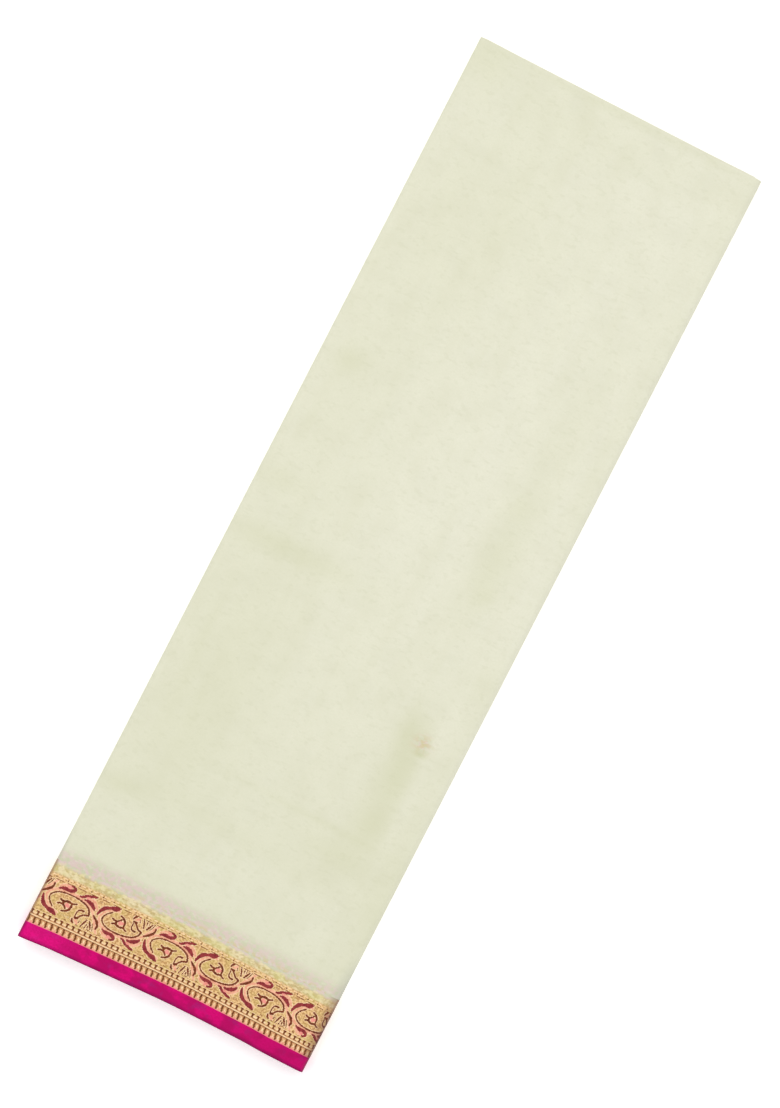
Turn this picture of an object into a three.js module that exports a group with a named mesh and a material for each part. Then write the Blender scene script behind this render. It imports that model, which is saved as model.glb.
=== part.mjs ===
// A silk saree folded flat for a shelf: one woven length, folded once along its middle and then halved
// five times, so that 32 double layers lie on each other and both borders meet at the near end.
// The outer cloth is a wall that runs round the pack. It turns in at the left, where the folds are open,
// and wraps the whole pack at the right. The layers inside share one rounded form, layered at its edges.
// Units are millimetres. X runs across the pack, Y from the border end to the far end, and Z is up.
import * as THREE from "three";

// The pack
const packWidth = 180;
const packLength = 575.4;
const packHeight = 14;
const wall = 1;
const seam = 0.3;

// The woven bands, measured from the selvedge
const selvedgeBand = 9;
const borderDepth = 46;

// Where the outer cloth turns, as half axes across and up. A power of 2 is an ellipse, and more is pressed squarer.
const sideFold = { across: 4.5, up: packHeight / 2, power: 2.5 };
const upperTurn = { across: 2.8, up: packHeight / 4, power: 2.5 };
const lowerTurn = { across: 1.6, up: packHeight / 8, power: 2 };
const turnedIn = 10;

// The top cloth's selvedge hangs out at the left corner, along a straight slope that ends at bowStart
const selvedgeBow = 4.8;
const bowStart = 4;
const bowRound = 12;

// The pack thins towards its ends, over this length
const endSlope = 16;
const farThinning = 0.1;
const nearThinning = 0.06;

// Soft troughs in the top cloth: centre, half sizes across and along, depth, and turn in degrees
const troughs = [
  { x: 57, y: -108, across: 11, along: 42, depth: 0.85, turn: 0 },
  { x: 57, y: 20, across: 10, along: 28, depth: 0.55, turn: -2 },
  { x: 56, y: 112, across: 11, along: 52, depth: 0.35, turn: 2 },
  { x: -60, y: -88, across: 18, along: 36, depth: 0.35, turn: 0 },
];
const troughFade = 9;

// The layers inside
const endRidges = 8;
const ridgeDepth = 0.9;
const insideUnderTop = 0.9;

// How finely each surface is divided
const alongField = 22;
const alongEndSlope = 4;
const acrossTop = 14;
const turnSteps = 8;

const colours = { field: 0xe5e5cd, zari: 0xd8b56a, selvedge: 0xd60e72 };

const left = -packWidth / 2;
const right = packWidth / 2;
const farEnd = packLength / 2;
const nearEnd = -packLength / 2;

const smooth = THREE.MathUtils.smoothstep;

// The share of the pack's full height at a place along it.
function heightShare(y) {
  const far = smooth(y, farEnd - endSlope, farEnd);
  const near = 1 - smooth(y, nearEnd, nearEnd + endSlope);
  return 1 - farThinning * far * far - nearThinning * near * near;
}

// How far the top cloth dips at a place, fading out before its turns.
function dip(x, y) {
  let depth = 0;
  for (const t of troughs) {
    const turn = THREE.MathUtils.degToRad(t.turn);
    const a = ((x - t.x) * Math.cos(turn) + (y - t.y) * Math.sin(turn)) / t.across;
    const b = ((y - t.y) * Math.cos(turn) - (x - t.x) * Math.sin(turn)) / t.along;
    depth += t.depth * Math.exp(-a * a - b * b);
  }
  const inFromSide = packWidth / 2 - upperTurn.across - Math.abs(x);
  return depth * smooth(inFromSide, 0, troughFade);
}

// Where the top cloth's selvedge lies: straight at the right, sloping out at the left.
function topSelvedge(x) {
  const reach = bowStart - left;
  const past = bowStart - x;
  const softened = (past + Math.hypot(past, bowRound)) / 2;
  return nearEnd + selvedgeBow * (1 - Math.min(softened / reach, 1));
}

function straightSelvedge() {
  return nearEnd + selvedgeBow;
}

// A value raised to a power, with its sign kept.
function raised(value, power) {
  return Math.sign(value) * Math.abs(value) ** power;
}

// Part of a squared ellipse in the XZ plane, its turns given in degrees: points, each with its outward direction.
function arc(centre, half, from, to, steps) {
  return Array.from({ length: steps + 1 }, (_, i) => {
    const turn = THREE.MathUtils.degToRad(THREE.MathUtils.lerp(from, to, i / steps));
    const x = raised(Math.cos(turn), 2 / half.power);
    const y = raised(Math.sin(turn), 2 / half.power);
    const slopeX = raised(x, half.power - 1) / half.across;
    const slopeY = raised(y, half.power - 1) / half.up;
    return {
      point: new THREE.Vector2(centre.x + half.across * x, centre.y + half.up * y),
      outward: new THREE.Vector2(slopeX, slopeY).normalize(),
    };
  });
}

// A level stretch whose outer face looks up or down, without its first point.
function level(fromX, toX, z, facing, steps) {
  return Array.from({ length: steps }, (_, i) => ({
    point: new THREE.Vector2(THREE.MathUtils.lerp(fromX, toX, (i + 1) / steps), z),
    outward: new THREE.Vector2(0, facing),
  }));
}

// The outer cloth's route round the pack, in three stretches
const upperCentre = new THREE.Vector2(left + upperTurn.across, packHeight - upperTurn.up);
const sideCentre = new THREE.Vector2(right - sideFold.across, sideFold.up);
const lowerCentre = new THREE.Vector2(left + lowerTurn.across, lowerTurn.up);

function topRoute() {
  return [
    ...level(upperCentre.x, left + turnedIn, packHeight - 2 * upperTurn.up, -1, 1),
    ...arc(upperCentre, upperTurn, 270, 90, turnSteps),
    ...level(upperCentre.x, sideCentre.x - seam, packHeight, 1, acrossTop),
  ];
}

function sideRoute() {
  return arc(sideCentre, sideFold, 90, -90, turnSteps);
}

function underRoute() {
  return [
    ...level(lowerCentre.x, sideCentre.x - seam, 0, -1, 1),
    ...arc(lowerCentre, lowerTurn, 270, 90, turnSteps - 2),
    ...level(lowerCentre.x, left + turnedIn, 2 * lowerTurn.up, 1, 1),
  ];
}

// A closed body between two grids of points with the same number of rows and columns.
function bodyBetween(outer, inner) {
  const rows = outer.length;
  const columns = outer[0].length;
  const positions = [...outer.flat(), ...inner.flat()].flatMap((p) => [p.x, p.y, p.z]);
  const at = (i, j, inside) => i * columns + j + (inside ? rows * columns : 0);
  const faces = [];
  const quad = (a, b, c, d) => faces.push(a, b, c, a, c, d);
  for (let i = 0; i + 1 < rows; i++) {
    for (let j = 0; j + 1 < columns; j++) {
      quad(at(i, j), at(i + 1, j), at(i + 1, j + 1), at(i, j + 1));
      quad(at(i, j, true), at(i, j + 1, true), at(i + 1, j + 1, true), at(i + 1, j, true));
    }
    quad(at(i, 0), at(i, 0, true), at(i + 1, 0, true), at(i + 1, 0));
    quad(at(i, columns - 1), at(i + 1, columns - 1), at(i + 1, columns - 1, true), at(i, columns - 1, true));
  }
  for (let j = 0; j + 1 < columns; j++) {
    quad(at(0, j), at(0, j + 1), at(0, j + 1, true), at(0, j, true));
    quad(at(rows - 1, j), at(rows - 1, j, true), at(rows - 1, j + 1, true), at(rows - 1, j + 1));
  }
  const geometry = new THREE.BufferGeometry();
  geometry.setAttribute("position", new THREE.Float32BufferAttribute(positions, 3));
  geometry.setIndex(faces);
  geometry.computeVertexNormals();
  return geometry;
}

// A stretch of cloth: a wall along a route, across one woven band.
function clothWall(route, selvedgeAt, band, dipAt = () => 0) {
  const grids = [0, wall].map((depth) =>
    route.map(({ point: p, outward }) =>
      rowsOf(band, selvedgeAt(p.x)).map((y) => {
        const x = p.x - outward.x * depth;
        const z = p.y - outward.y * depth;
        const sunk = p.y > packHeight - seam ? dipAt(p.x, y) : 0;
        return new THREE.Vector3(x, y, z * heightShare(y) - sunk);
      }),
    ),
  );
  return bodyBetween(grids[0], grids[1]);
}

// The three woven bands, each with its rows of points as distances from the selvedge. The field runs to the far end.
const bands = [
  { name: "field", rows: [borderDepth + seam / 2], reachesFarEnd: true },
  { name: "zari_border", rows: [selvedgeBand + seam / 2, 13, 17, 32, borderDepth - seam / 2] },
  { name: "selvedge_band", rows: [0, 3, 6, selvedgeBand - seam / 2] },
];

// Where a band's rows lie along the pack.
function rowsOf(band, selvedge) {
  const rows = band.rows.map((row) => selvedge + row);
  if (!band.reachesFarEnd) return rows;
  const start = rows[0];
  const slope = farEnd - endSlope;
  for (let i = 1; i <= alongField; i++) rows.push(THREE.MathUtils.lerp(start, slope, i / alongField));
  for (let i = 1; i <= alongEndSlope; i++) rows.push(THREE.MathUtils.lerp(slope, farEnd, i / alongEndSlope));
  return rows;
}

const cloths = {
  field: new THREE.MeshStandardMaterial({ name: "field", color: colours.field, roughness: 0.6, metalness: 0 }),
  zari_border: new THREE.MeshStandardMaterial({ name: "zari", color: colours.zari, roughness: 0.4, metalness: 0.6 }),
  selvedge_band: new THREE.MeshStandardMaterial({
    name: "selvedge",
    color: colours.selvedge,
    roughness: 0.5,
    metalness: 0,
  }),
};

const saree = new THREE.Group();

function add(name, geometry, material) {
  const mesh = new THREE.Mesh(geometry, material);
  mesh.name = name;
  saree.add(mesh);
}

// The half width that is left inside a turn, with a seam's gap to its wall.
function insideTurn(centre, half, z) {
  const across = half.across - wall - seam;
  const up = half.up - wall - seam;
  const share = Math.min(Math.abs(z - centre.y) / up, 1);
  return across * (1 - share ** half.power) ** (1 / half.power);
}

// The open side's edge, from the floor up: inside the lower turn, under its return, three free folds, and so on.
const lowerReturn = 2 * lowerTurn.up;
const upperReturn = packHeight - 2 * upperTurn.up;
const pastReturn = left + turnedIn + seam;
const openFolds = [
  { from: lowerReturn + seam, to: lowerReturn + 1.8, inset: 0.5 },
  { from: lowerReturn + 1.8, to: lowerReturn + 2.6, inset: 1.6 },
  { from: lowerReturn + 2.6, to: upperReturn - seam, inset: 2.6 },
];
const foldRound = 0.45;

function openEdge(z) {
  if (z < lowerReturn - wall - seam) return lowerCentre.x - insideTurn(lowerCentre, lowerTurn, z);
  if (z > upperReturn + wall + seam) return upperCentre.x - insideTurn(upperCentre, upperTurn, z);
  const fold = openFolds.find((f) => z > f.from && z < f.to);
  if (!fold) return pastReturn;
  const fromMiddle = Math.abs(2 * z - fold.from - fold.to) / (fold.to - fold.from);
  return left + fold.inset + foldRound * fromMiddle * fromMiddle;
}

function wrappedEdge(z) {
  return sideCentre.x + insideTurn(sideCentre, sideFold, z);
}

// Heights where the form inside has a ring: two for each end ridge, and both sides of each step.
const coreBottom = wall + seam;
const coreTop = packHeight - wall - seam;
const ridgePitch = (coreTop - coreBottom) / endRidges;
const stepGap = 0.02;
const steps = [
  lowerReturn - wall - seam,
  upperReturn + wall + seam,
  ...openFolds.flatMap((f) => [f.from, f.to]),
];
const rings = [
  ...Array.from({ length: 2 * endRidges + 1 }, (_, i) => coreBottom + (i * ridgePitch) / 2),
  ...steps.flatMap((z) => [z - stepGap, z + stepGap]),
  ...openFolds.map((f) => (f.from + f.to) / 2),
]
  .sort((a, b) => a - b)
  .filter((z, i, all) => i === 0 || z - all[i - 1] > stepGap / 2);

// How far the layered edge stands back at a height: deep between two layers, and uneven from layer to layer.
function layeredEdge(x, z) {
  const layer = (z - coreBottom) / ridgePitch;
  const nearest = Math.min(Math.floor(layer), endRidges - 1);
  const fromCrest = Math.abs(2 * (layer - nearest) - 1);
  const slip = 1 + 0.6 * Math.sin(2.4 * nearest + 0.7) + 0.4 * Math.sin(1.7 * nearest) * (x / right);
  return insideUnderTop + slip + ridgeDepth * fromCrest * fromCrest;
}

// The layers inside, across one woven band. Rings of points are stacked from the floor up.
function hiddenLayers(band) {
  const rows = rowsOf(band, straightSelvedge());
  const lastRow = rows.length - 1;
  const isNearEnd = band.rows[0] === 0;
  const pointAt = (z, column, row) => {
    const x = THREE.MathUtils.lerp(openEdge(z), wrappedEdge(z), column / acrossTop);
    const near = isNearEnd ? rows[0] + layeredEdge(x, z) : rows[0];
    const far = band.reachesFarEnd ? farEnd - layeredEdge(x, z) : rows[lastRow];
    const y = row === 0 ? near : Math.min(rows[row], far);
    const sunk = dip(x, y) * smooth(z, coreTop - 2.2, coreTop);
    return new THREE.Vector3(x, row === lastRow ? far : y, z * heightShare(y) - sunk);
  };
  // Places round the edge, as column and row, against the clock from above
  const edge = [];
  for (let i = 0; i < acrossTop; i++) edge.push([i, 0]);
  for (let j = 0; j < lastRow; j++) edge.push([acrossTop, j]);
  for (let i = acrossTop; i > 0; i--) edge.push([i, lastRow]);
  for (let j = lastRow; j > 0; j--) edge.push([0, j]);
  const points = rings.flatMap((z) => edge.map(([i, j]) => pointAt(z, i, j)));
  const faces = [];
  for (let k = 0; k + 1 < rings.length; k++) {
    for (let i = 0; i < edge.length; i++) {
      const a = k * edge.length + i;
      const b = k * edge.length + ((i + 1) % edge.length);
      faces.push(a, b, b + edge.length, a, b + edge.length, a + edge.length);
    }
  }
  // The flat bottom and the dipped top are grids that share the first and the last ring
  for (const isTop of [false, true]) {
    const ringStart = isTop ? (rings.length - 1) * edge.length : 0;
    const index = new Map(edge.map(([i, j], k) => [`${i},${j}`, ringStart + k]));
    for (let i = 1; i < acrossTop; i++) {
      for (let j = 1; j < lastRow; j++) {
        index.set(`${i},${j}`, points.length);
        points.push(pointAt(isTop ? coreTop : coreBottom, i, j));
      }
    }
    for (let i = 0; i < acrossTop; i++) {
      for (let j = 0; j < lastRow; j++) {
        const corners = [[i, j], [i + 1, j], [i + 1, j + 1], [i, j + 1]];
        const [a, b, c, d] = corners.map(([s, t]) => index.get(`${s},${t}`));
        if (isTop) faces.push(a, b, c, a, c, d);
        else faces.push(a, c, b, a, d, c);
      }
    }
  }
  const geometry = new THREE.BufferGeometry();
  const positions = points.flatMap((p) => [p.x, p.y, p.z]);
  geometry.setAttribute("position", new THREE.Float32BufferAttribute(positions, 3));
  geometry.setIndex(faces);
  geometry.computeVertexNormals();
  return geometry;
}

for (const band of bands) {
  const material = cloths[band.name];
  add(`top_${band.name}`, clothWall(topRoute(), topSelvedge, band, dip), material);
  add(`side_fold_${band.name}`, clothWall(sideRoute(), straightSelvedge, band), material);
  add(`under_${band.name}`, clothWall(underRoute(), straightSelvedge, band), material);
  add(`hidden_layers_${band.name}`, hiddenLayers(band), material);
}

export default saree;
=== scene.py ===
"""The looks of a silk saree folded into a flat pack, on a plain white surface, seen from above.

The whole cloth is one strip, doubled along its middle and halved five times, and it is laid here along
that real route: 32 levels, joined at the right and the left by nested folds. The stretch that shows is
outer cloth, and the rest are inner layers. Lengths in the tables are in millimetres.
"""

import math

import bmesh
import bpy
import numpy as np
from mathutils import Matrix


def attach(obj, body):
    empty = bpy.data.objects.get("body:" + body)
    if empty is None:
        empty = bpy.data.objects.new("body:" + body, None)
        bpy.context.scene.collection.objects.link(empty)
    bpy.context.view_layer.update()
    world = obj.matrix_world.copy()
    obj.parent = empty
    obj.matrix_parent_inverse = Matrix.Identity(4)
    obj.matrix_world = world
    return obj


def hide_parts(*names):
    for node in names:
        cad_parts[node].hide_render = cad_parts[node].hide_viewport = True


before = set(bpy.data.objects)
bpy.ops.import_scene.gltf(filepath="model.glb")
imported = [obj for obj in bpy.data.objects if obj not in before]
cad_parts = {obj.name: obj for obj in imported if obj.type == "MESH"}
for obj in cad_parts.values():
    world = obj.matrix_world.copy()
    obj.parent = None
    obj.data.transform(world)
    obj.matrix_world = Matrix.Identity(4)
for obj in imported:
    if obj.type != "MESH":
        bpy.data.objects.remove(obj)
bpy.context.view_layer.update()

MM = 0.001

# The pack, as in the part's source
WIDTH = 180.0
LENGTH = 575.4
HEIGHT = 14.0
LEVELS = 32
PITCH = HEIGHT / LEVELS
LEFT, RIGHT = -WIDTH / 2, WIDTH / 2
NEAR, FAR = -LENGTH / 2, LENGTH / 2
SIDE_ACROSS = 4.5
FOLD_POWER = 2.5
TIGHTEST_TURN = 0.18
TURNED_IN = 10.0
BOW = 4.8
BOW_START = 4.0
BOW_ROUND = 12.0
HEM_DRAWN_IN = 0.5
HEM_DRAWN_FROM = (-88, -70)
HEM_DRAWN_TO = (50, 66)
END_SLOPE = 16.0
FAR_THINNING = 0.1
NEAR_THINNING = 0.06

# The woven bands, from the selvedge. The border is charted in cells, 171 to a repeat of two paisleys.
SELVEDGE_BAND = 9.25
REPEAT = 61.6
REPEAT_CELLS = 171
CELL = REPEAT / REPEAT_CELLS
BORDER_CELLS = 103
BORDER_DEPTH = SELVEDGE_BAND + BORDER_CELLS * CELL
INNER_SELVEDGE = 9.5

# How much of the selvedge's slope is left at each distance from it
SLOPE_SHARES = [
    {"depth": 0, "share": 1.0},
    {"depth": 9, "share": 0.86},
    {"depth": 40, "share": 0.68},
    {"depth": 46, "share": 0.38},
    {"depth": 130, "share": 0.1},
    {"depth": 260, "share": 0.0},
]

# The layers' thickness, how far the outer face lies outside its level's middle, and where the inner layers
# start and end
OUTER_THICK = 0.36
INNER_THICK = 0.36
OUTER_LIFT = PITCH / 2 - 0.03
INSET_NEAR = 1.0
INSET_FAR = 1.6

# Bundles of folds at the open side: their levels, how far the turn lies in from the edge, its half width
# across, and how much it wavers
BUNDLES = [
    {"low": 17, "high": 32, "inset": 0.0, "across": 2.8, "waver": 0.0},
    {"low": 1, "high": 8, "inset": 0.0, "across": 1.6, "waver": 0.0},
    {"low": 9, "high": 12, "inset": 0.9, "across": 0.9, "waver": 0.35},
    {"low": 13, "high": 14, "inset": 1.9, "across": 0.4, "waver": 0.5},
    {"low": 15, "high": 15, "inset": 3.0, "across": 0.0, "waver": 0.7},
    {"low": 16, "high": 16, "inset": 2.6, "across": 0.0, "waver": 0.6},
]
TOP_END, UNDER_END = BUNDLES[0]["low"], BUNDLES[1]["high"]

# The waver: two waves along the pack, which fade inward, by the length of one radian, their size, and their
# shift from bundle to bundle in radians
WAVES = [{"radian": 41, "size": 1.0, "shift": 1.9}, {"radian": 17.3, "size": 0.5, "shift": 4.1}]
WAVER_FADE = 30

# Soft troughs in the top cloth, as in the part's source, then fine creases. Each is a soft oval, with its
# middle, how far it reaches, its depth and its turn in degrees. A negative depth is a ridge.
TROUGHS = [
    {"x": 57, "y": -108, "across": 11, "along": 42, "depth": 0.85, "turn": 0},
    {"x": 57, "y": 20, "across": 10, "along": 28, "depth": 0.55, "turn": -2},
    {"x": 56, "y": 112, "across": 11, "along": 52, "depth": 0.35, "turn": 2},
    {"x": -60, "y": -88, "across": 18, "along": 36, "depth": 0.35, "turn": 0},
]
CREASES = [
    {"x": -50, "y": -22.5, "across": 38, "along": 4, "depth": 0.12, "turn": 2},
    {"x": -56, "y": -17, "across": 26, "along": 3.5, "depth": -0.08, "turn": 3},
    {"x": -70, "y": 89, "across": 7, "along": 5, "depth": 0.18, "turn": 25},
    {"x": -75, "y": 11, "across": 10, "along": 3, "depth": 0.14, "turn": 8},
    {"x": -72, "y": -80, "across": 2.5, "along": 26, "depth": 0.07, "turn": 0},
    {"x": -6, "y": 269, "across": 46, "along": 4, "depth": -0.16, "turn": 1},
    {"x": 66.6, "y": -90.4, "across": 3.2, "along": 1.3, "depth": 0.3, "turn": 4},
    {"x": 74, "y": -157, "across": 8, "along": 2, "depth": 0.14, "turn": -22},
    {"x": 34, "y": -152, "across": 44, "along": 3, "depth": 0.12, "turn": -2},
    {"x": 77, "y": -110, "across": 3.5, "along": 60, "depth": -0.12, "turn": 0},
    {"x": 22, "y": 137, "across": 46, "along": 3, "depth": 0.07, "turn": 2},
    {"x": 60, "y": 152, "across": 30, "along": 2.5, "depth": 0.06, "turn": 0},
    {"x": 4, "y": 40, "across": 34, "along": 4, "depth": 0.05, "turn": -3},
    {"x": -30, "y": 180, "across": 28, "along": 5, "depth": 0.06, "turn": 6},
    {"x": -78, "y": -158, "across": 10, "along": 3, "depth": 0.12, "turn": 4},
    {"x": -84, "y": 236, "across": 4, "along": 9, "depth": 0.12, "turn": 0},
    {"x": -70, "y": -182, "across": 14, "along": 5, "depth": 0.14, "turn": 6},
]

# Beside the pack's sides: the margin that stays flat, the width over which the depth grows from there, and
# the power of the height with which it fades in the layers below
TROUGH_EDGE = {"margin": 3, "fade": 9, "power": 2}
CREASE_EDGE = {"margin": 2, "fade": 4, "power": 8}


def smooth(value, low, high):
    """0 below the low limit and 1 above the high one, with a soft step between."""
    t = np.clip((value - low) / (high - low), 0, 1)
    return t * t * (3 - 2 * t)


def hills(x, y, rows):
    """The sum of soft ovals at each place."""
    total = np.zeros(np.broadcast(x, y).shape)
    for r in rows:
        c, s = math.cos(math.radians(r["turn"])), math.sin(math.radians(r["turn"]))
        a = ((x - r["x"]) * c + (y - r["y"]) * s) / r["across"]
        b = ((y - r["y"]) * c - (x - r["x"]) * s) / r["along"]
        total += r["depth"] * np.exp(-a * a - b * b)
    return total


def slope_share(depth):
    """How much of the selvedge's slope is left at a distance from it."""
    return np.interp(depth, [r["depth"] for r in SLOPE_SHARES], [r["share"] for r in SLOPE_SHARES])


def height_share(y):
    """How much of the height is left where the pack thins towards its two ends."""
    far = smooth(y, FAR - END_SLOPE, FAR)
    near = 1 - smooth(y, NEAR, NEAR + END_SLOPE)
    return 1 - FAR_THINNING * far**2 - NEAR_THINNING * near**2


def sag(x, y, share, rows, edge):
    """How deep the cloth sinks at each place and share of the height."""
    inward = WIDTH / 2 - edge["margin"] - np.abs(x)
    return hills(x, y, rows) * smooth(inward, 0, edge["fade"]) * share ** edge["power"]


def place(x, y, z):
    """Where a point of the flat pack goes once its layers have settled."""
    share = np.clip(z / HEIGHT, 0, 1)
    sunk = sag(x, y, share, TROUGHS, TROUGH_EDGE) + sag(x, y, share, CREASES, CREASE_EDGE)
    return np.stack([x, y, z * height_share(y) - sunk], -1)


def bow(x):
    """How far the selvedge at a place stands back from its furthest corner."""
    past = BOW_START - x
    softened = (past + np.hypot(past, BOW_ROUND)) / 2
    drawn_in = HEM_DRAWN_IN * smooth(x, *HEM_DRAWN_FROM) * (1 - smooth(x, *HEM_DRAWN_TO))
    return BOW * (1 - np.minimum(softened / (BOW_START - LEFT), 1)) + drawn_in


# The cloth's route across the pack


def bundle_of(level):
    return next(b for b in BUNDLES if b["low"] <= level <= b["high"])


def level_z(level):
    """The height of a level's middle."""
    return (level - 0.5) * PITCH


def fold(level, to_right):
    """The fold that joins a level to its partner: the partner, the fold's centre, and its half sizes."""
    if to_right:
        other, edge, across, up = LEVELS + 1 - level, RIGHT, SIDE_ACROSS, HEIGHT / 2
    else:
        b = bundle_of(level)
        other, edge, across = b["low"] + b["high"] - level, LEFT + b["inset"], b["across"]
        up = (b["high"] - b["low"] + 1) * PITCH / 2
    half = abs(level_z(other) - level_z(level)) / 2
    if half == 0:
        return None, edge, 0, 0
    nested = max((across - PITCH / 2) * half / (up - PITCH / 2), TIGHTEST_TURN)
    inward = -1 if to_right else 1
    return other, edge + inward * (up - half + nested), nested, half


def left_centre(level):
    return fold(level, False)[1]


def right_centre(level):
    return fold(level, True)[1]


def raised(values, power):
    """A power that keeps the sign."""
    return np.sign(values) * np.abs(values) ** power


def turn(level, to_right, steps):
    """A half turn from a level to its partner, pressed a little square, without its two ends."""
    other, centre, across, half = fold(level, to_right)
    side = 1 if to_right else -1
    turns = np.radians(np.linspace(-90, 90, steps + 1)[1:-1]) * (1 if other > level else -1)
    x, z = raised(np.cos(turns), 2 / FOLD_POWER), raised(np.sin(turns), 2 / FOLD_POWER)
    middle = (level_z(level) + level_z(other)) / 2
    points = np.stack([centre + side * across * x, middle + half * z], -1)
    outward = np.stack([side * raised(x, FOLD_POWER - 1) / across, raised(z, FOLD_POWER - 1) / half], -1)
    outward /= np.linalg.norm(outward, axis=1)[:, None]
    return points, outward if (other > level) != to_right else -outward


def run(level, from_x, to_x, steps):
    """A level stretch. Its outward side is on the left of its direction."""
    x = np.linspace(from_x, to_x, steps + 1)
    up = 1.0 if to_x > from_x else -1.0
    points = np.stack([x, np.full_like(x, level_z(level))], -1)
    return points, np.tile((0.0, up), (len(x), 1))


def route(stretches):
    """Joins stretches into one path: places (x, z) and outward directions."""
    points = np.concatenate([s[0] for s in stretches])
    outward = np.concatenate([s[1] for s in stretches])
    return points, outward


def levels_from(start, count):
    """The levels that the cloth passes, in order, from a level that it enters at the left."""
    order, level = [start], start
    while len(order) < count:
        level = fold(level, len(order) % 2 == 1)[0]
        order.append(level)
    return order


TURNED_IN_STEPS = 3
LAST_FOLD_MORE = 4


def outer_route(top_steps, under_steps, turn_steps):
    """In at the open side, over the top, round the last fold, back underneath and in again."""
    inner_x = LEFT + TURNED_IN
    return route([
        run(TOP_END, inner_x, left_centre(TOP_END), TURNED_IN_STEPS),
        turn(TOP_END, False, turn_steps),
        run(LEVELS, left_centre(LEVELS), right_centre(LEVELS), top_steps),
        turn(LEVELS, True, turn_steps + LAST_FOLD_MORE),
        run(1, right_centre(1), left_centre(1), under_steps),
        turn(1, False, turn_steps),
        run(UNDER_END, left_centre(UNDER_END), inner_x, TURNED_IN_STEPS),
    ])


def inner_route(order, first_x, last_x, steps, turn_steps):
    """Through the levels in order, from one place across to another, or else the whole of each level."""
    stretches = []
    for i, level in enumerate(order):
        to_right = i % 2 == 0
        start, end = left_centre(level), right_centre(level)
        if not to_right:
            start, end = end, start
        if i == 0 and first_x is not None:
            start = first_x
        if i == len(order) - 1 and last_x is not None:
            end = last_x
        stretches.append(run(level, start, end, steps))
        if i < len(order) - 1:
            stretches.append(turn(level, to_right, turn_steps))
    return route(stretches)


# Meshes


SHARP_ANGLE = math.radians(50)


def new_object(name, vertices, faces, materials, indices=None):
    """A smooth mesh, with each face's material by its index."""
    mesh = bpy.data.meshes.new(name)
    mesh.from_pydata(vertices.tolist(), [], faces.tolist())
    mesh.validate()
    for m in materials:
        mesh.materials.append(m)
    if indices is not None:
        mesh.polygons.foreach_set("material_index", indices.astype(np.int32))
    mesh.polygons.foreach_set("use_smooth", np.ones(len(mesh.polygons), bool))
    mesh.update()
    o = bpy.data.objects.new(name, mesh)
    bpy.context.collection.objects.link(o)
    return o


def left_waver(x, z, y):
    """The open side's folds aren't quite in line."""
    level = np.clip(np.round(z / PITCH + 0.5), 1, LEVELS)
    amount = np.zeros(np.broadcast(x, z, y).shape)
    for k, b in enumerate(BUNDLES):
        inside = (level >= b["low"]) & (level <= b["high"])
        wave = sum(w["size"] * np.sin(y / w["radian"] + w["shift"] * k) for w in WAVES)
        amount += inside * b["waver"] * wave
    return amount * (1 - smooth(x, LEFT, LEFT + WAVER_FADE))


def sweep(name, path, y, depth, material, waver=True):
    """A closed ribbon along a path, with a section of distances along the pack and depths under its face."""
    points, outward = path
    x = points[:, None, 0] - outward[:, None, 0] * depth[None, :]
    z = points[:, None, 1] - outward[:, None, 1] * depth[None, :]
    if waver:
        x = x + left_waver(points[:, None, 0], points[:, None, 1], y)
    grid = place(x, y, z)
    index = np.arange(y.size).reshape(y.shape)
    after = np.roll(index, -1, axis=1)
    quads = np.stack([index[:-1], index[1:], after[1:], after[:-1]], -1).reshape(-1, 4)
    o = new_object(name, grid.reshape(-1, 3) * MM, quads, [material])
    bm = bmesh.new()
    bm.from_mesh(o.data)
    bm.verts.ensure_lookup_table()
    for end in (index[0], index[-1][::-1]):
        bm.faces.new([bm.verts[int(i)] for i in end])
    bmesh.ops.recalc_face_normals(bm, faces=bm.faces)
    bm.to_mesh(o.data)
    bm.free()
    o.data.polygons.foreach_set("use_smooth", np.ones(len(o.data.polygons), bool))
    o.data.set_sharp_from_angle(angle=SHARP_ANGLE)
    return o


def spaced(start, end, pitch):
    """Places from start to end, about a pitch apart."""
    return np.linspace(start, end, max(2, round((end - start) / pitch) + 1))


# The outer cloth's surface, by distance along its route and from its selvedge

FINE = outer_route(top_steps=120, under_steps=20, turn_steps=14)
STEPS = np.linalg.norm(np.diff(FINE[0] + FINE[1] * PITCH / 2, axis=0), axis=1)
REACH = np.concatenate([[0], np.cumsum(STEPS)])
TINY = 1e-6
TOP_START = REACH[np.argmax(FINE[0][:, 1] >= level_z(LEVELS) - TINY)]
ROUTE_LENGTH = REACH[-1]

# The selvedge is bowed above the first of these, and to the left of the second, where the last fold starts
UPPER_HALF = 16.2 * PITCH
TURN_STARTS = RIGHT - SIDE_ACROSS + 0.01


def outer_selvedge(points):
    """Where the selvedge lies: bowed on the top alone, and straight round the last fold and underneath."""
    x, z = points[..., 0], points[..., 1]
    return NEAR + np.where((z > UPPER_HALF) & (x < TURN_STARTS), bow(x), BOW)


def on_outer(u, v, lift):
    """Points over the outer cloth, by distance along its route, from its selvedge, and above its face."""
    p = np.stack([np.interp(u, REACH, FINE[0][:, k]) for k in (0, 1)], -1)
    n = np.stack([np.interp(u, REACH, FINE[1][:, k]) for k in (0, 1)], -1)
    n /= np.linalg.norm(n, axis=-1)[..., None]
    p = p + n * OUTER_LIFT
    within = p - n * PITCH / 2
    y = NEAR + BOW + v + (outer_selvedge(within) - NEAR - BOW) * slope_share(v)
    q = p + n * lift
    return place(q[..., 0], y, q[..., 1])


# Materials


def rgb(r, g, b):
    """A linear colour from a screen colour."""
    c = [v / 255 for v in (r, g, b)]
    return [v / 12.92 if v <= 0.04045 else ((v + 0.055) / 1.055) ** 2.4 for v in c] + [1.0]


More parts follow.
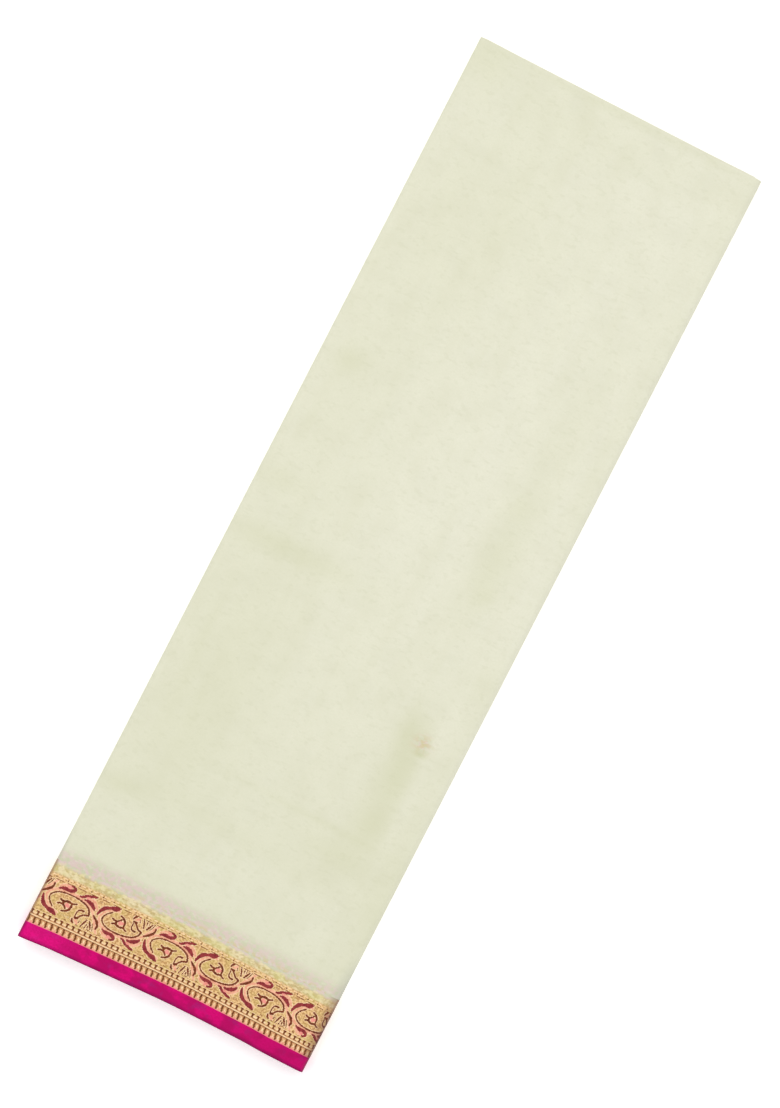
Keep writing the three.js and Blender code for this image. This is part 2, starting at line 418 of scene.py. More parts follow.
# How many bands a wave texture has to a metre at scale 1
BANDS_AT_SCALE_1 = 3.183


class Nodes:
    """Builds a material's nodes."""

    def __init__(self, name):
        self.material = bpy.data.materials.new(name)
        self.material.use_nodes = True
        self.tree = self.material.node_tree
        self.shader = self.tree.nodes["Principled BSDF"]

    def add(self, kind, inputs=None, **settings):
        node = self.tree.nodes.new(kind)
        for key, value in settings.items():
            setattr(node, key, value)
        for key, value in (inputs or {}).items():
            self.put(node, key, value)
        return node

    def put(self, node, key, value):
        if isinstance(value, bpy.types.NodeSocket):
            self.tree.links.new(value, node.inputs[key])
        else:
            node.inputs[key].default_value = value

    def surface(self, inputs):
        """Sets the shader's own sockets."""
        for key, value in inputs.items():
            self.put(self.shader, key, value)

    def shade(self):
        """The piece's shade: three shares in its colour, and in alpha how little painted shade darkens it at
        its edges.
        """
        return self.add("ShaderNodeVertexColor", layer_name="shade").outputs

    def shares(self):
        """The shade's three shares, as Red, Green and Blue."""
        return self.add("ShaderNodeSeparateColor", {"Color": self.shade()["Color"]}).outputs

    def noise(self, scale, detail=2.0, stretch=(1, 1, 1), roughness=0.5):
        where = self.add("ShaderNodeTexCoord").outputs["Object"]
        mapped = self.add("ShaderNodeMapping", {"Vector": where, "Scale": stretch})
        node = self.add("ShaderNodeTexNoise", {"Vector": mapped.outputs[0], "Scale": scale,
                                               "Detail": detail, "Roughness": roughness})
        return node.outputs["Fac"]

    def wave(self, per_metre, direction):
        """Straight bands, for threads."""
        where = self.add("ShaderNodeTexCoord").outputs["Object"]
        node = self.add("ShaderNodeTexWave", {"Vector": where, "Scale": per_metre / BANDS_AT_SCALE_1,
                                              "Distortion": 0.0, "Detail": 1.0, "Detail Scale": 2.0},
                        wave_type="BANDS", bands_direction=direction)
        return node.outputs["Fac"]

    def spread(self, value, low, high):
        """Stretches a value between two limits to 0 to 1."""
        node = self.add("ShaderNodeMapRange", {"Value": value, "From Min": low, "From Max": high})
        return node.outputs["Result"]

    def mix(self, share, a, b):
        """Two colours mixed. The sockets go by number, because the node has several of each name."""
        return self.add("ShaderNodeMix", {0: share, 6: a, 7: b}, data_type="RGBA").outputs[2]

    def compute(self, operation, a, b):
        return self.add("ShaderNodeMath", {0: a, 1: b}, operation=operation).outputs[0]

    def times(self, a, b):
        return self.compute("MULTIPLY", a, b)

    def plus(self, a, b):
        return self.compute("ADD", a, b)

    def minus(self, a, b):
        return self.compute("SUBTRACT", a, b)

    def bump(self, height, distance, strength):
        node = self.add("ShaderNodeBump", {"Height": height, "Distance": distance, "Strength": strength})
        self.put(self.shader, "Normal", node.outputs[0])


def painted_edge_shade(m, tone, deep):
    """Darkens a tone towards a deeper colour where the piece's shade alpha says so: painted shade at its
    edges.
    """
    return m.mix(m.minus(1.0, m.shade()["Alpha"]), tone, rgb(*deep))


def see_through(m):
    """The tone of the field where the border of the layer below shows through it."""
    blotch = m.noise(280, 3, (1, 1.5, 1), 0.6)
    return m.mix(m.spread(blotch, 0.44, 0.57), rgb(224, 203, 195), rgb(209, 209, 178))


def silk_field():
    """Cream silk. Its shares are the painted shading in soft patches, the border below it and that border's
    yellow part.
    """
    m = Nodes("cream_silk")
    parts = m.shares()
    slub = m.noise(26, 3, (1, 7, 1))
    thread = m.noise(9, 3, (9, 1, 1))
    mottle = m.noise(60, 4)
    grain = m.noise(900, 1)
    tone = m.mix(m.spread(slub, 0.38, 0.62), rgb(231, 230, 209), rgb(235, 234, 214))
    tone = m.mix(m.spread(thread, 0.4, 0.68), tone, rgb(230, 229, 206))
    tone = m.mix(m.spread(mottle, 0.35, 0.7), tone, rgb(236, 235, 214))
    tone = m.mix(m.times(m.spread(grain, 0.35, 0.65), 0.25), tone, rgb(225, 225, 200))
    flecks = m.noise(260, 2, (1, 1.7, 1))
    tone = m.mix(m.times(m.spread(flecks, 0.55, 0.7), 0.22), tone, rgb(212, 212, 184))
    # The red share darkens the silk: painted shading over its troughs, creases and edges, and broad darker
    # areas
    tone = m.mix(parts["Red"], tone, rgb(205, 207, 165))
    blotch = m.noise(330, 2, (1, 1.4, 1))
    tone = m.mix(m.times(parts["Green"], m.spread(blotch, 0.1, 0.45)), tone, see_through(m))
    tone = m.mix(m.times(parts["Blue"], m.spread(blotch, 0.46, 0.56)), tone, rgb(216, 202, 154))
    # The silk's base colour takes painted shade towards its edges
    m.surface({"Base Color": painted_edge_shade(m, tone, (188, 190, 172)), "Roughness": m.spread(slub, -2.2, 2.6),
               "Sheen Weight": 0.05, "Sheen Roughness": 0.5, "Specular IOR Level": 0.2})
    weave = m.plus(m.wave(1600, "X"), m.wave(1500, "Y"))
    m.bump(m.plus(weave, m.times(slub, 6.0)), 0.00002, 0.6)
    return m.material


def plain_thread(name, base, darker, metallic=0.0):
    """A thread of one colour, with darker specks."""
    m = Nodes(name)
    grain = m.noise(700, 2)
    tone = m.mix(m.spread(grain, 0.4, 0.62), rgb(*base), rgb(*darker))
    # The thread's base colour takes painted shade towards its edges
    m.surface({"Base Color": painted_edge_shade(m, tone, (92, 46, 40)), "Roughness": 0.55, "Metallic": metallic,
               "Specular IOR Level": 0.1})
    m.bump(m.plus(m.wave(1500, "Y"), grain), 0.00003, 0.5)
    return m.material


def gold_thread():
    """Gold over the ground. Its shares are its end at the field, the rows of boxes and the pale band."""
    m = Nodes("gold_thread")
    parts = m.shares()
    grain = m.noise(850, 2)
    patches = m.noise(120, 2)
    mottle = m.noise(330, 2, (1, 1.5, 1))
    tone = m.mix(m.spread(grain, 0.4, 0.6), rgb(188, 138, 84), rgb(247, 205, 144))
    tone = m.mix(m.times(m.spread(patches, 0.4, 0.66), 0.5), tone, rgb(208, 188, 106))
    tone = m.mix(m.times(parts["Green"], 0.7), tone, rgb(210, 142, 98))
    pale = m.mix(m.spread(mottle, 0.4, 0.6), rgb(239, 227, 184), rgb(200, 181, 125))
    pale = m.mix(m.times(m.spread(patches, 0.42, 0.6), 0.35), pale, rgb(212, 212, 128))
    tone = m.mix(m.times(parts["Blue"], 0.85), tone, pale)
    ragged = m.spread(m.plus(parts["Red"], m.times(mottle, 1.6)), 1.0, 1.7)
    tone = m.mix(ragged, tone, see_through(m))
    # The gold's base colour takes painted shade towards its edges
    m.surface({"Base Color": painted_edge_shade(m, tone, (136, 94, 68)), "Metallic": 0.1, "Roughness": 0.42,
               "Specular IOR Level": 0.3})
    m.bump(m.plus(m.wave(1400, "Y"), grain), 0.00004, 0.6)
    return m.material


def magenta_silk():
    """The ground of the border. Its shares are its pinker left part and its deeper right part."""
    m = Nodes("magenta_silk")
    parts = m.shares()
    patches = m.noise(105, 2, (1, 1.3, 1))
    purple = m.noise(150, 2)
    grain = m.noise(1000, 1)
    tone = m.mix(m.spread(patches, 0.42, 0.56), rgb(222, 4, 118), rgb(189, 8, 100))
    tone = m.mix(m.times(m.spread(purple, 0.56, 0.68), 0.6), tone, rgb(166, 34, 116))
    tone = m.mix(m.times(parts["Red"], 0.6), tone, rgb(243, 24, 141))
    tone = m.mix(m.times(parts["Green"], 0.4), tone, rgb(170, 10, 90))
    tone = m.mix(m.times(m.spread(grain, 0.35, 0.65), 0.35), tone, rgb(184, 0, 88))
    # The magenta's base colour takes painted shade towards its edges
    m.surface({"Base Color": painted_edge_shade(m, tone, (104, 8, 66)), "Roughness": 0.5,
               "Specular IOR Level": 0.06})
    m.bump(m.plus(m.wave(1500, "X"), m.wave(1400, "Y")), 0.00002, 0.5)
    return m.material


# The border's repeat, charted

GOLD, BRIGHT, LINE, OLIVE, WINE, SALMON, PINK = range(7)
MOTIF_PITCH = REPEAT / 2
MOTIFS_IN_REACH = range(-1, 4)
BAND_MIDDLE = 27.95
BAND_HALF = 9.75
FIRST_MOTIF = 18.9
BOX = REPEAT / 18
BRIGHT_EDGE = 0.4

# One paisley, by lines in mm from its middle, across and up: what each draws, its thread, and its half
# widths at its start, middle and end
FIGURES = [
    {"figure": "salmon_oval", "thread": SALMON, "half": (0.5, 0.8, 0.6),
     "line": [(-3.9, -7.6), (-7.4, -6.5), (-9.7, -5.3), (-11.6, -3.4), (-12.8, -1.1), (-12.9, 0.8),
              (-12.1, 2.5), (-10.5, 4.0), (-8.2, 4.8), (-4.6, 5.3), (-0.6, 5.5), (3.0, 5.3), (6.4, 4.6),
              (9.6, 3.3), (12.2, 1.6), (14.4, -0.8), (16.4, -3.8), (18.2, -6.6), (20.2, -9.7)]},
    {"figure": "salmon_top_left", "thread": SALMON, "half": (0.4, 1.0, 0.6),
     "line": [(-8.6, 6.9), (-6.4, 7.9), (-3.6, 9.1)]},
    {"figure": "salmon_top_right", "thread": SALMON, "half": (0.5, 1.0, 0.6),
     "line": [(6.2, 7.0), (9.4, 6.9), (12.4, 5.8), (14.8, 3.2)]},
    {"figure": "salmon_low_right", "thread": SALMON, "half": (0.5, 0.9, 0.5),
     "line": [(6.2, -7.3), (7.3, -7.7), (8.4, -9.2)]},
    {"figure": "leaf_top_left", "thread": WINE, "half": (0.5, 1.25, 1.0),
     "line": [(-8.4, 5.6), (-6.4, 6.4), (-4.0, 6.6), (-2.0, 6.6), (-0.7, 7.1)]},
    {"figure": "leaf_top_left_hook", "thread": WINE, "half": (0.85, 0.8, 0.55),
     "line": [(-0.9, 7.0), (-0.1, 7.9), (-0.9, 8.8), (-2.3, 9.2)]},
    {"figure": "bud_top_left", "thread": PINK, "half": (0.7, 0.85, 0.6),
     "line": [(-4.0, 8.0), (-2.5, 8.1)]},
    {"figure": "leaf_top_right", "thread": WINE, "half": (0.6, 1.25, 0.6),
     "line": [(6.9, 5.3), (9.1, 5.2), (11.1, 4.4), (12.5, 3.4), (13.4, 2.3)]},
    {"figure": "leaf_top_right_hook", "thread": WINE, "half": (0.5, 0.85, 0.75),
     "line": [(3.6, 5.9), (5.2, 6.2), (6.2, 7.3), (8.3, 8.1), (10.3, 8.9), (11.7, 9.2)]},
    {"figure": "leaf_top_right_knot", "thread": WINE, "half": (0.6, 0.9, 0.5),
     "line": [(4.9, 6.2), (6.0, 6.9)]},
    {"figure": "bud_top_right", "thread": PINK, "half": (0.5, 0.65, 0.4),
     "line": [(7.2, 6.6), (8.7, 7.1)]},
    {"figure": "crescent_left", "thread": WINE, "half": (0.6, 1.25, 0.75),
     "line": [(-14.7, -1.0), (-14.2, -2.8), (-13.3, -4.6), (-12.0, -6.0), (-10.4, -6.8), (-9.0, -7.3)]},
    {"figure": "patch_low_left", "thread": WINE, "half": (1.1, 1.55, 0.4),
     "line": [(-8.6, -7.7), (-6.6, -7.9), (-3.9, -9.2)]},
    {"figure": "leaf_right", "thread": LINE, "half": (0.55, 0.8, 0.5),
     "line": [(14.5, -0.7), (16.3, -2.0), (17.9, -3.4), (19.0, -5.3), (19.0, -7.2)]},
    {"figure": "outline", "thread": LINE, "half": (0.42, 0.46, 0.58),
     "line": [(-7.5, -5.4), (-9.4, -3.7), (-10.8, -1.8), (-11.2, 0.0), (-10.4, 1.6), (-8.8, 2.9),
              (-7.0, 3.7), (-4.6, 4.2), (-1.4, 4.4), (1.4, 4.35), (4.0, 4.05), (6.5, 3.5), (8.7, 2.7),
              (10.4, 1.6), (11.4, 0.3), (12.0, -1.1), (12.1, -2.0)]},
    {"figure": "outline_curl", "thread": LINE, "half": (0.65, 0.5, 0.5),
     "line": [(12.0, -2.0), (11.0, -2.4), (9.8, -2.8), (8.5, -4.0), (7.2, -5.6)]},
    {"figure": "flower_top", "thread": LINE, "half": (0.6, 0.7, 0.4),
     "line": [(-4.9, 0.2), (-3.1, -0.35), (-1.5, 0.35), (0.0, 0.5), (1.6, 0.0), (2.7, 0.5), (4.0, 1.1)]},
    {"figure": "flower_low", "thread": LINE, "half": (0.5, 0.6, 0.5),
     "line": [(-5.8, -2.5), (-4.3, -1.95), (-2.8, -2.1), (-1.6, -2.9), (-0.7, -3.9)]},
    {"figure": "flower_left", "thread": LINE, "half": (0.7, 0.75, 0.6),
     "line": [(-3.2, -0.4), (-2.8, -2.0)]},
    {"figure": "flower_right", "thread": LINE, "half": (0.6, 0.7, 0.45),
     "line": [(1.7, -0.1), (1.7, -2.0), (1.3, -3.6), (0.0, -4.9), (-2.1, -5.7)]},
    {"figure": "flower_centre", "thread": PINK, "half": (1.05, 1.25, 1.05),
     "line": [(-0.9, -1.5), (0.1, -2.0)]},
    {"figure": "curl_stem", "thread": LINE, "half": (0.35, 0.45, 0.7),
     "line": [(5.8, -5.0), (5.9, -3.0), (6.4, -1.5), (7.4, -1.0), (8.7, -0.9)]},
    {"figure": "curl_blob", "thread": LINE, "half": (0.65, 0.75, 0.6),
     "line": [(5.9, -6.0), (7.6, -5.9)]},
    {"figure": "foot", "thread": LINE, "half": (0.45, 0.65, 0.45),
     "line": [(4.9, -7.3), (5.4, -8.5), (6.3, -9.2)]},
    {"figure": "fan_1", "thread": LINE, "half": (0.42, 0.5, 0.35),
     "line": [(12.4, -4.6), (11.7, -6.7), (10.7, -9.4)]},
    {"figure": "fan_2", "thread": LINE, "half": (0.45, 0.6, 0.35),
     "line": [(14.2, -4.7), (15.0, -6.2), (16.3, -8.6)]},
    {"figure": "fan_3", "thread": LINE, "half": (0.2, 0.3, 0.2),
     "line": [(13.4, -6.6), (12.9, -9.4)]},
    {"figure": "fan_4", "thread": LINE, "half": (0.2, 0.28, 0.2),
     "line": [(9.4, -6.6), (8.7, -8.2)]},
    {"figure": "fan_5", "thread": LINE, "half": (0.2, 0.3, 0.2),
     "line": [(16.0, -5.2), (16.9, -7.0), (17.6, -9.2)]},
    {"figure": "fan_6", "thread": LINE, "half": (0.2, 0.26, 0.2),
     "line": [(14.4, -7.4), (14.5, -9.4)]},
]

# Rows of the border beside its band of figures, by their depths from the selvedge. A broken row has one mark
# to each one or two boxes: how many cells wide it is, where the first one starts, and how far it leans to the
# left for each mm of depth.
LINES = [
    {"thread": PINK, "low": 9.25, "high": 9.98, "boxes": 0, "mark": 0, "start": 0, "lean": 0},
    {"thread": SALMON, "low": 9.98, "high": 10.7, "boxes": 0, "mark": 0, "start": 0, "lean": 0},
    {"thread": BRIGHT, "low": 10.7, "high": 12.6, "boxes": 1, "mark": 3, "start": 2.4, "lean": 0.16},
    {"thread": OLIVE, "low": 9.6, "high": 13.2, "boxes": 1, "mark": 3, "start": 0.75, "lean": 0.16},
    {"thread": OLIVE, "low": 13.1, "high": 13.7, "boxes": 0, "mark": 0, "start": 0, "lean": 0},
    {"thread": BRIGHT, "low": 13.6, "high": 14.3, "boxes": 0, "mark": 0, "start": 0, "lean": 0},
    {"thread": OLIVE, "low": 14.65, "high": 15.0, "boxes": 1, "mark": 6, "start": 0.4, "lean": 0},
    {"thread": BRIGHT, "low": 15.0, "high": 16.1, "boxes": 0, "mark": 0, "start": 0, "lean": 0},
    {"thread": OLIVE, "low": 15.0, "high": 16.5, "boxes": 1, "mark": 3, "start": 0.75, "lean": 0.16},
    {"thread": LINE, "low": 16.5, "high": 17.05, "boxes": 1, "mark": 5, "start": 0.1, "lean": 0},
    {"thread": BRIGHT, "low": 17.2, "high": 17.6, "boxes": 0, "mark": 0, "start": 0, "lean": 0},
    {"thread": LINE, "low": 18.3, "high": 18.7, "boxes": 2, "mark": 4, "start": 1.2, "lean": 0},
    {"thread": LINE, "low": 37.2, "high": 37.55, "boxes": 2, "mark": 12, "start": 1.5, "lean": 0},
    {"thread": BRIGHT, "low": 37.9, "high": 38.4, "boxes": 1, "mark": 7, "start": 0.3, "lean": 0},
    {"thread": OLIVE, "low": 38.6, "high": 39.0, "boxes": 2, "mark": 2, "start": 0.9, "lean": 0},
    {"thread": BRIGHT, "low": 39.3, "high": 39.8, "boxes": 1, "mark": 6, "start": 1.9, "lean": 0},
]

# The weave isn't quite even: how far it lies to the left of its even repeat, by mm across the top
SHIFTS = [
    {"at": -15, "left": 0},
    {"at": 0, "left": 1.8},
    {"at": 10, "left": 1.4},
    {"at": 30, "left": 0},
    {"at": 162, "left": 0},
    {"at": 173, "left": 1.4},
    {"at": 178, "left": 1.8},
]


def curve(points, steps=7):
    """A smooth line through the points, as more points."""
    p = [2 * np.array(points[0]) - points[1], *points, 2 * np.array(points[-1]) - points[-2]]
    p = np.array(p, float)
    out = []
    for a, b, c, d in zip(p, p[1:], p[2:], p[3:]):
        for t in np.arange(steps) / steps:
            out.append(0.5 * (2 * b + (c - a) * t + (2 * a - 5 * b + 4 * c - d) * t**2
                              + (3 * b - a - 3 * c + d) * t**3))
    return np.array(out + [p[-2]])


def inside_stroke(across, up, widths, points):
    """Where places lie within a line's half width."""
    line = curve(points)
    found = np.zeros(across.shape, bool)
    for i, ((x0, y0), (x1, y1)) in enumerate(zip(line, line[1:])):
        dx, dy = x1 - x0, y1 - y0
        t = np.clip(((across - x0) * dx + (up - y0) * dy) / (dx * dx + dy * dy), 0, 1)
        half = np.interp((i + t) / (len(line) - 1), (0, 0.5, 1), widths)
        found |= np.hypot(across - x0 - t * dx, up - y0 - t * dy) < half
    return found


def chart():
    """One repeat of the border, a thread for each cell: columns across, rows from the selvedge band up.

    The figures' bright rims come first, so that none covers a figure. Every second paisley is upside down.
    """
    columns = (np.arange(REPEAT_CELLS) + 0.5) * CELL
    depths = SELVEDGE_BAND + (np.arange(BORDER_CELLS) + 0.5) * CELL
    across, depth = np.meshgrid(columns, depths, indexing="ij")
    threads = np.full(across.shape, GOLD)
    up = depth - BAND_MIDDLE
    band = np.abs(up) < BAND_HALF
    for edge in (BRIGHT_EDGE, 0):
        for figure in FIGURES:
            for k in MOTIFS_IN_REACH:
                side = 1 if k % 2 == 0 else -1
                halves = np.add(figure["half"], edge)
                inside = inside_stroke(across - k * MOTIF_PITCH, side * up, halves, figure["line"])
                threads[inside & band] = BRIGHT if edge else figure["thread"]
    for r in LINES:
        here = (depth > r["low"]) & (depth < r["high"])
        if r["boxes"]:
            leaned = across - r["start"] + r["lean"] * (depth - r["low"])
            here &= leaned % (r["boxes"] * BOX) < r["mark"] * CELL
        threads[here] = r["thread"]
    return threads


# Depths from the selvedge where the gold changes
BOX_ROWS = (9.6, 15.9)
PALE_BAND = (39.6, 41.2)
FADES_OUT = (42.6, BORDER_DEPTH)


def brocade(piece_threads):
    """The gold and the figures that are woven over the magenta ground, cell by cell."""
    threads = chart()
    column_count = int(ROUTE_LENGTH / CELL)
    first = TOP_START - BUNDLES[0]["across"] + FIRST_MOTIF
    offset = first - math.floor(first / CELL) * CELL
    start = round((offset - first) / CELL)
    cells = threads[(np.arange(column_count - 1) + start) % REPEAT_CELLS]
    u = offset + np.arange(column_count) * CELL
    u -= np.interp(u - TOP_START, [r["at"] for r in SHIFTS], [r["left"] for r in SHIFTS])
    v = SELVEDGE_BAND + np.arange(BORDER_CELLS + 1) * CELL
    uu, vv = np.meshgrid(u, v, indexing="ij")
    index = np.arange(uu.size).reshape(uu.shape)
    quads = np.stack([index[:-1, :-1], index[1:, :-1], index[1:, 1:], index[:-1, 1:]], -1)
    made = []
    for name, lift, materials in piece_threads:
        chosen = [quads[cells == thread] for thread in materials]
        slots = np.repeat(np.arange(len(chosen)), [len(c) for c in chosen])
        used, where = np.unique(np.concatenate(chosen), return_inverse=True)
        points = on_outer(uu.ravel()[used], vv.ravel()[used], lift) * MM
        o = new_object(name, points, where.reshape(-1, 4), list(materials.values()), slots)
        depth = vv.ravel()[used]
        in_boxes = (depth > BOX_ROWS[0]) & (depth < BOX_ROWS[1])
        paint(o, smooth(depth, *FADES_OUT), in_boxes, smooth(depth, *PALE_BAND))
        made.append(o)
    return made


def places_of(o):
    """An object's points in mm, as x, y and z."""
    p = np.empty(len(o.data.vertices) * 3)
    o.data.vertices.foreach_get("co", p)
    return p.reshape(-1, 3).T / MM


# How much painted shade darkens the edges: over the field, how much more over the border, and more over its
# gold. Each fades between two distances from its edge, the border's part also over the field, and all of it
# below the top.
LEFT_PAINTED_SHADE = {"field": 0.12, "border": 0.54}
RIGHT_PAINTED_SHADE = {"field": 0.15, "border": 0.35, "gold": 0.44}
HEM_PAINTED_SHADE = 0.8
SIDE_FADE, GOLD_FADE, HEM_FADE = (0.5, 2.2), (2.5, 7.5), (0.4, 1.9)
BORDER_ENDS, GOLD_STARTS = (46, 78), (7.5, 9.2)
NEAR_TOP = (8, 10)


def from_selvedge(x, y, z):
    """How far places lie from the outer cloth's selvedge."""
    return y - outer_selvedge(np.stack([x, z], -1))


def paint(o, red=0, green=0, blue=0):
    """Writes the shade: three shares for the material, and in alpha how little painted shade darkens it at
    its edges.
    """
    x, y, z = places_of(o)
    v = from_selvedge(x, y, z)
    bordered = 1 - smooth(v, *BORDER_ENDS)
    woven = bordered * smooth(v, *GOLD_STARTS)
    # Painted shade along the open side, the folded side and the selvedge, fading out below the top
    left = (LEFT_PAINTED_SHADE["field"] + LEFT_PAINTED_SHADE["border"] * bordered) * (1 - smooth(x - LEFT, *SIDE_FADE))
    right = (RIGHT_PAINTED_SHADE["field"] + RIGHT_PAINTED_SHADE["border"] * bordered) * (1 - smooth(RIGHT - x, *SIDE_FADE))
    right += RIGHT_PAINTED_SHADE["gold"] * woven * (1 - smooth(RIGHT - x, *GOLD_FADE))
    hem = HEM_PAINTED_SHADE * (1 - smooth(v, *HEM_FADE))
    colours = np.zeros((len(x), 4), np.float32)
    for k, share in enumerate((red, green, blue)):
        colours[:, k] = share
    colours[:, 3] = 1 - np.maximum(np.maximum(left, right), hem) * smooth(z, *NEAR_TOP)
    attribute = o.data.color_attributes.new("shade", "FLOAT_COLOR", "POINT")
    attribute.data.foreach_set("color", colours.ravel())


# Soft patches painted darker on the field: painted shade in its troughs and creases and along its sides and
# ends, a painted highlight where the depth is negative, along the ridge beside the deepest trough, and broad
# areas that are only darker, such as its lower part and its left third
PAINTED_SHADING = [
    {"x": 56, "y": -82, "across": 9, "along": 13, "depth": 0.26, "turn": 0},
    {"x": 61.5, "y": -106, "across": 9, "along": 20, "depth": 0.24, "turn": 0},
    {"x": 58, "y": -118, "across": 13, "along": 46, "depth": 0.16, "turn": 0},
    {"x": 66.8, "y": -90.4, "across": 3.4, "along": 1.3, "depth": 0.8, "turn": 4},
    {"x": 61, "y": -141, "across": 9, "along": 11, "depth": 0.2, "turn": 0},
    {"x": 72, "y": -106, "across": 4, "along": 44, "depth": -0.11, "turn": 0},
    {"x": 50, "y": -164, "across": 22, "along": 9, "depth": 0.18, "turn": -4},
    {"x": 54, "y": 22, "across": 12, "along": 34, "depth": 0.24, "turn": 0},
    {"x": 59, "y": 5, "across": 6, "along": 5, "depth": 0.14, "turn": 30},
    {"x": 53.5, "y": 60, "across": 8, "along": 9, "depth": 0.12, "turn": 0},
    {"x": 57, "y": 110, "across": 12, "along": 60, "depth": 0.12, "turn": 0},
    {"x": -54, "y": -22, "across": 44, "along": 7, "depth": 0.22, "turn": 1},
    {"x": -71, "y": 90, "across": 9, "along": 8, "depth": 0.22, "turn": 25},
    {"x": -76, "y": 12, "across": 14, "along": 7, "depth": 0.14, "turn": 6},
    {"x": -66, "y": 60, "across": 42, "along": 120, "depth": 0.14, "turn": 0},
    {"x": -44, "y": 205, "across": 60, "along": 74, "depth": 0.14, "turn": 0},
    {"x": -56, "y": -112, "across": 34, "along": 70, "depth": 0.16, "turn": 0},
    {"x": -74, "y": -84, "across": 3, "along": 34, "depth": 0.08, "turn": 0},
    {"x": -76, "y": -184, "across": 14, "along": 6, "depth": 0.2, "turn": 5},
    {"x": 0, "y": -176, "across": 220, "along": 86, "depth": 0.16, "turn": 0},
    {"x": 0, "y": -50, "across": 220, "along": 50, "depth": 0.06, "turn": 0},
    {"x": 86, "y": -180, "across": 14, "along": 74, "depth": 0.14, "turn": 0},
    {"x": 81, "y": -40, "across": 8, "along": 12, "depth": 0.12, "turn": 0},
    {"x": 86, "y": 150, "across": 10, "along": 130, "depth": 0.08, "turn": 0},
    {"x": 0, "y": -230, "across": 160, "along": 14, "depth": 0.14, "turn": 0},
    {"x": 0, "y": -180, "across": 90, "along": 7, "depth": 0.08, "turn": -3},
    {"x": 33, "y": -151, "across": 50, "along": 2.4, "depth": 0.14, "turn": -1},
    {"x": 0, "y": 268, "across": 120, "along": 14, "depth": 0.08, "turn": 0},
    {"x": -82, "y": 280, "across": 20, "along": 14, "depth": 0.2, "turn": 0},
    {"x": 0, "y": 285, "across": 95, "along": 3, "depth": 0.18, "turn": 0},
]

# They, and the mark, lie on the top: heights between which they fade in
PAINTED_SHADING_NEAR_TOP = (7, 10)
MARK_NEAR_TOP = (10, 12)

# A small warm mark beside the deepest trough, and how yellow it is
MARK = {"x": 65.3, "y": -85.2, "across": 4.8, "along": 4.2, "depth": 0.72, "turn": 0}
MARK_YELLOW = 1.1

# Where the border of the layer below shows through the field: depths between which it and its yellow part
# fade out, how much deeper it reaches at the left, its strength at the right, and how much more at the left
GHOST_FADE, YELLOW_FADE = (49.0, 57.0), (46.4, 49.5)
GHOST_LEFT_TO_RIGHT = (-70, 70)
GHOST_DEEPER = 2.5
GHOST_SHARE, GHOST_MORE = 0.85, 0.15


def paint_field(o):
    """The field's tone: its painted shading, its mark, and the border below that shows through the thin silk.
    """
    x, y, z = places_of(o)
    v = from_selvedge(x, y, z)
    leftward = 1 - smooth(x, *GHOST_LEFT_TO_RIGHT)
    ghost = (1 - smooth(v - GHOST_DEEPER * leftward, *GHOST_FADE)) * (GHOST_SHARE + GHOST_MORE * leftward)
    yellow = 1 - smooth(v, *YELLOW_FADE)
    warm = hills(x, y, [MARK]) * smooth(z, *MARK_NEAR_TOP)
    # Painted shading over the troughs, creases and edges, and the broad darker areas
    patches = np.clip(hills(x, y, PAINTED_SHADING) * smooth(z, *PAINTED_SHADING_NEAR_TOP), 0, 1)
    paint(o, patches, ghost + warm, yellow + MARK_YELLOW * warm)


cream = silk_field()
gold = gold_thread()
magenta = magenta_silk()
maroon = plain_thread("maroon_thread", (134, 66, 38), (104, 46, 28))
olive = plain_thread("olive_thread", (136, 80, 40), (108, 60, 30))
wine = plain_thread("wine_thread", (158, 62, 62), (132, 44, 50))
salmon = plain_thread("salmon_thread", (250, 190, 157), (236, 162, 130))
pink = plain_thread("pink_thread", (250, 164, 150), (238, 146, 130))
bright = plain_thread("bright_gold_thread", (255, 222, 178), (240, 198, 146), 0.1)
pale_gold = plain_thread("inner_gold_thread", (218, 190, 118), (186, 146, 88), 0.2)

# Outer cloth

ROUND_TURNS = np.radians((0, 30, 60, 90, 120, 150, 180))
GOLD_LIFT, FIGURES_LIFT = 0.05, 0.035


def slab(start, end, pitch, thick):
    """A flat section: distances along and depths."""
    out = spaced(start, end, pitch)
    return np.concatenate([out, out[::-1]]), np.repeat((0.0, thick), len(out))


def hairpin(start, end, pitch, back_pitch, thick):
    """A section that runs along the outer face, round the fold at the far end, and back."""
    out, back = spaced(start, end - thick / 2, pitch), spaced(start, end - thick / 2, back_pitch)
    along = np.concatenate([out[:-1], end - thick / 2 * (1 - np.sin(ROUND_TURNS)), back[-2::-1]])
    depth = np.concatenate([out[:-1] * 0, thick / 2 * (1 - np.cos(ROUND_TURNS)), back[-2::-1] * 0 + thick])
    return along, depth


def outer_y(path, along):
    """Places along the pack on the outer cloth. The selvedge's slope fades out towards the far end."""
    points, outward = path
    selvedge = outer_selvedge(points - outward * OUTER_LIFT)[:, None]
    return NEAR + BOW + along[None, :] + (selvedge - NEAR - BOW) * slope_share(along)[None, :]


